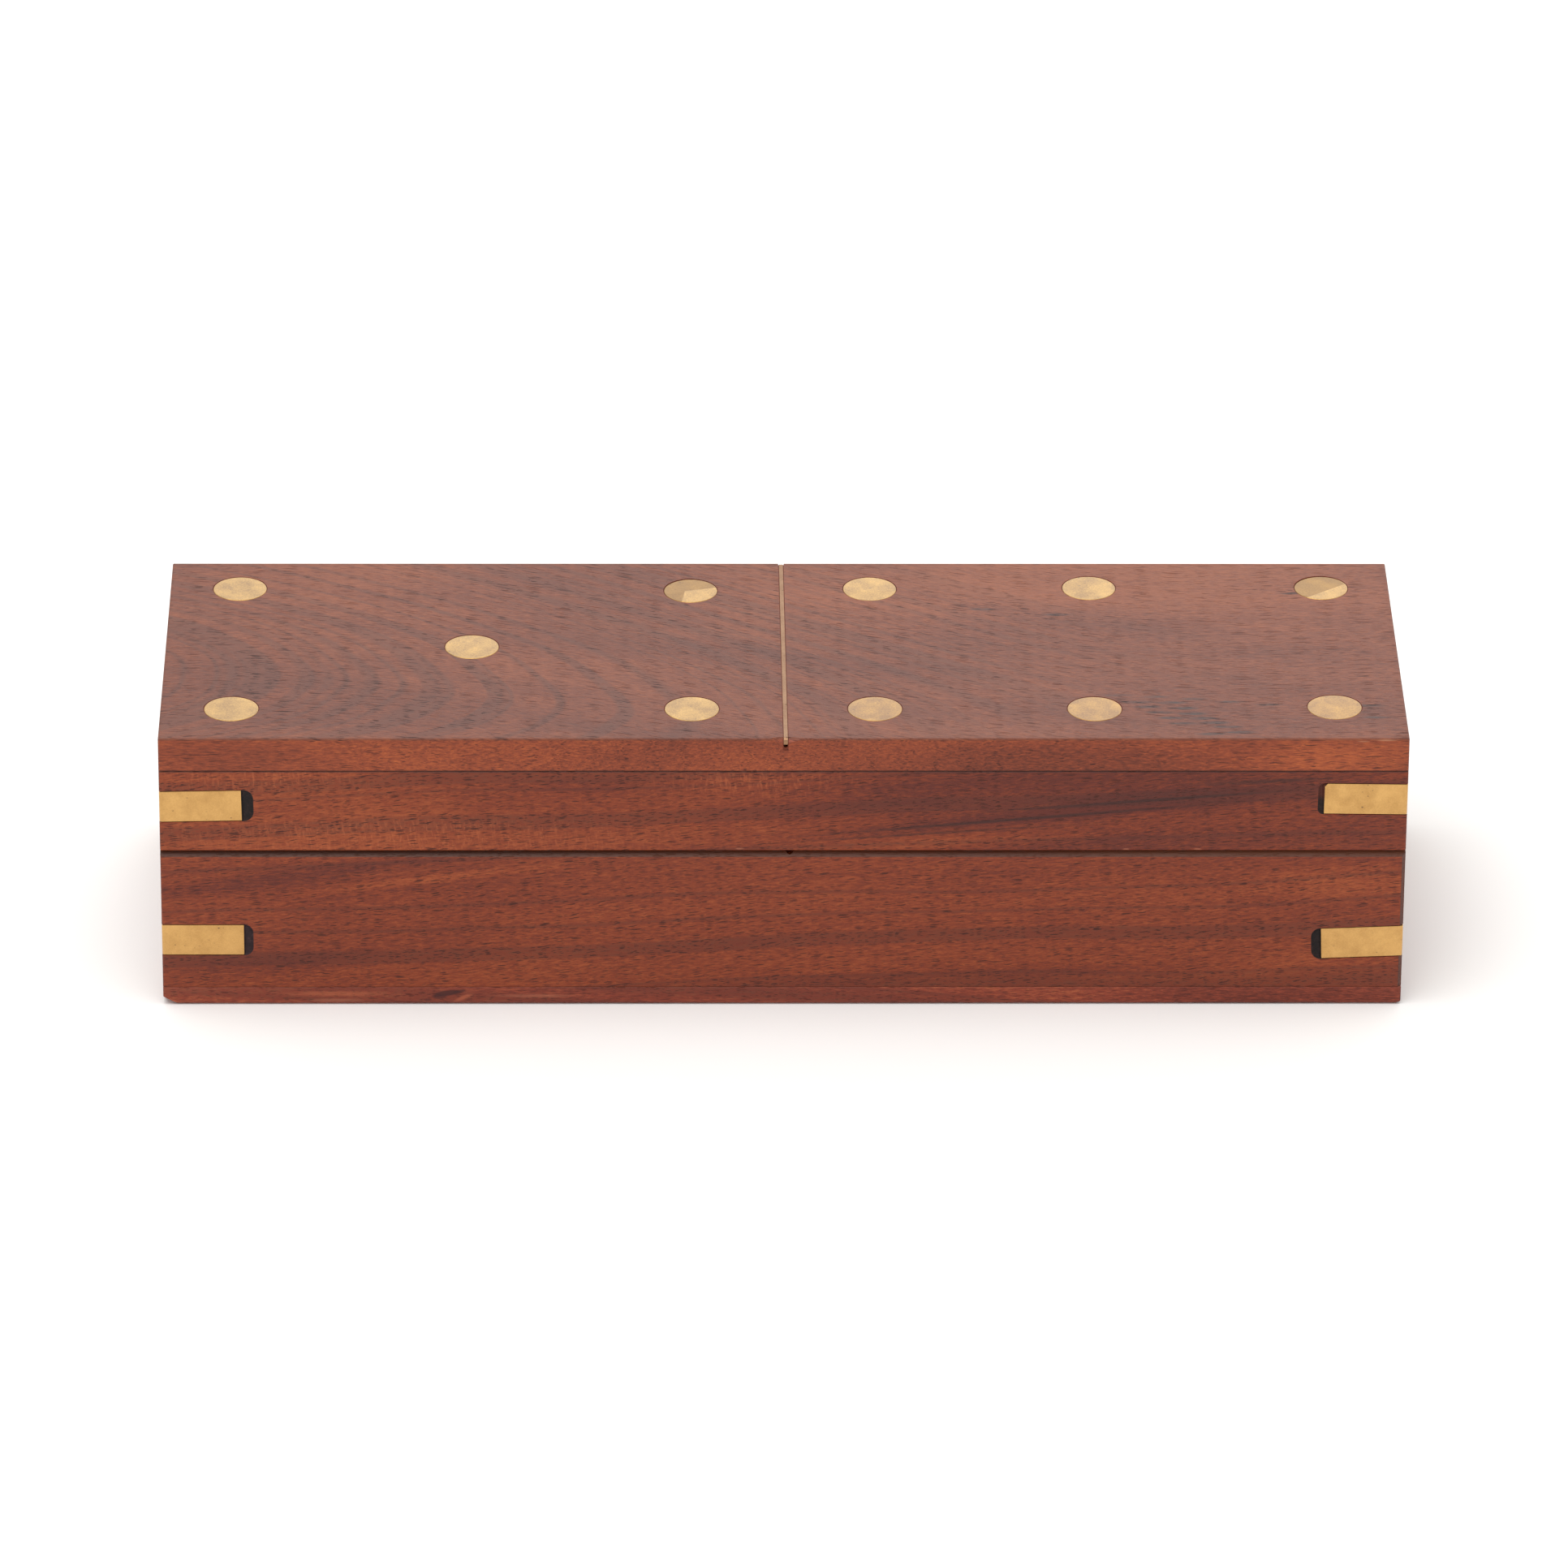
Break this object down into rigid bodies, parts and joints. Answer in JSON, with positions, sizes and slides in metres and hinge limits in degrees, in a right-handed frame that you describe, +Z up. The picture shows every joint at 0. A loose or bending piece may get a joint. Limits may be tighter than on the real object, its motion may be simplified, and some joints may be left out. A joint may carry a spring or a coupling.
{
  "type": "domino storage box",
  "caption": "Hinged hardwood box shaped like a domino, with round brass pips and a brass divider strip in the lid and brass straps at the corners.",
  "frame": {"origin": "centre of the underside, on the plane the box stands on", "axes": "+X to the right along the box's length, +Y to the back, where the hinges are, +Z up"},
  "size_m": [0.2, 0.0684, 0.048],
  "materials": {
    "hardwood": "satin",
    "inlay_brass": "brushed",
    "slot_filler": "matte",
    "hinge_brass": "satin",
    "screw_brass": "satin"
  },
  "bodies": {
    "base": {"base_bottom_panel": "hardwood", "base_front_wall": "hardwood", "base_back_wall": "hardwood", "base_left_wall": "hardwood", "base_right_wall": "hardwood", "base_front_left_strap": "inlay_brass", "base_front_right_strap": "inlay_brass", "base_back_left_strap": "inlay_brass", "base_back_right_strap": "inlay_brass", "base_front_left_filler": "slot_filler", "base_front_right_filler": "slot_filler", "base_back_left_filler": "slot_filler", "base_back_right_filler": "slot_filler", "left_hinge_base_leaf": "hinge_brass", "left_hinge_pin": "hinge_brass", "left_hinge_base_screws": "screw_brass", "right_hinge_base_leaf": "hinge_brass", "right_hinge_pin": "hinge_brass", "right_hinge_base_screws": "screw_brass"},
    "lid": {"lid_top_panel": "hardwood", "lid_front_wall": "hardwood", "lid_back_wall": "hardwood", "lid_left_wall": "hardwood", "lid_right_wall": "hardwood", "pip_five_centre": "inlay_brass", "pip_five_front_outer": "inlay_brass", "pip_five_front_inner": "inlay_brass", "pip_six_front_inner": "inlay_brass", "pip_six_front_middle": "inlay_brass", "pip_six_front_outer": "inlay_brass", "pip_five_back_outer": "inlay_brass", "pip_five_back_inner": "inlay_brass", "pip_six_back_inner": "inlay_brass", "pip_six_back_middle": "inlay_brass", "pip_six_back_outer": "inlay_brass", "divider_strip": "inlay_brass", "lid_front_left_strap": "inlay_brass", "lid_front_right_strap": "inlay_brass", "lid_back_left_strap": "inlay_brass", "lid_back_right_strap": "inlay_brass", "lid_front_left_filler": "slot_filler", "lid_front_right_filler": "slot_filler", "lid_back_left_filler": "slot_filler", "lid_back_right_filler": "slot_filler", "left_hinge_lid_leaf": "hinge_brass", "left_hinge_lid_screws": "screw_brass", "right_hinge_lid_leaf": "hinge_brass", "right_hinge_lid_screws": "screw_brass"}
  },
  "joints": [
    {"name": "lid_hinge", "type": "hinge", "parent": "base", "child": "lid", "pos_m": [0, 0.03435, 0.02782], "axis": [-1, 0, 0], "range_deg": [0, 186]}
  ]
}
